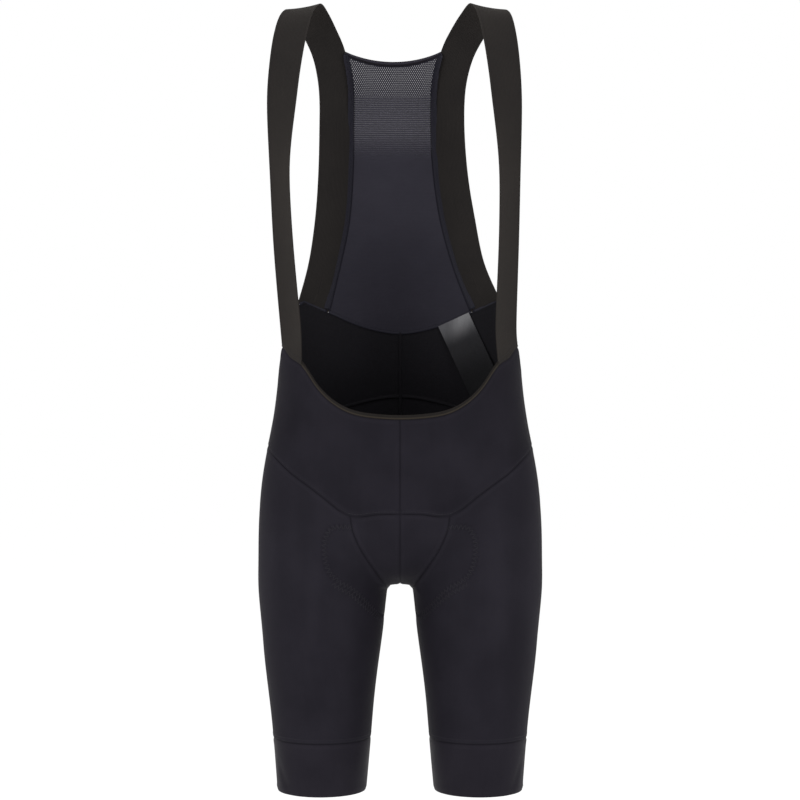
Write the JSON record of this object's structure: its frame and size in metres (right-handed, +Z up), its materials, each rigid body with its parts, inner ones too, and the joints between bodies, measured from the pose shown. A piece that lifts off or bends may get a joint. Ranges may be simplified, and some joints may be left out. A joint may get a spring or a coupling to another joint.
{
  "type": "bib shorts",
  "caption": "Hollow worn-form cycling bib shorts with wide elastic shoulder straps, a net back panel, a seat pad and banded leg hems.",
  "frame": {"origin": "on the shorts' middle plane, level with the undersides of the two straps where they lie on the wearer's shoulders", "axes": "+Z up, -Y the way the wearer faces, +X the wearer's left"},
  "size_m": [0.3304, 0.2155, 0.9212],
  "materials": {
    "lycra": "satin stretch knit",
    "cuff_band": "satin stretch knit",
    "elastic": "matt ribbed elastic",
    "net": "open warp knit",
    "tape": "folded tape",
    "satin": "satin ribbon",
    "pad_cover": "brushed knit over foam"
  },
  "bodies": {
    "root": {"front_panel_left": "lycra", "front_panel_right": "lycra", "back_panel_left": "lycra", "back_panel_right": "lycra", "cup_left": "lycra", "cup_right": "lycra", "leg_left": "lycra", "leg_right": "lycra", "cuff_left": "cuff_band", "cuff_right": "cuff_band", "strap_left": "elastic", "strap_right": "elastic", "back_mesh": "net", "neck_binding": "tape", "front_tape": "tape", "care_label": "satin", "seat_pad": "pad_cover"}
  },
  "joints": []
}
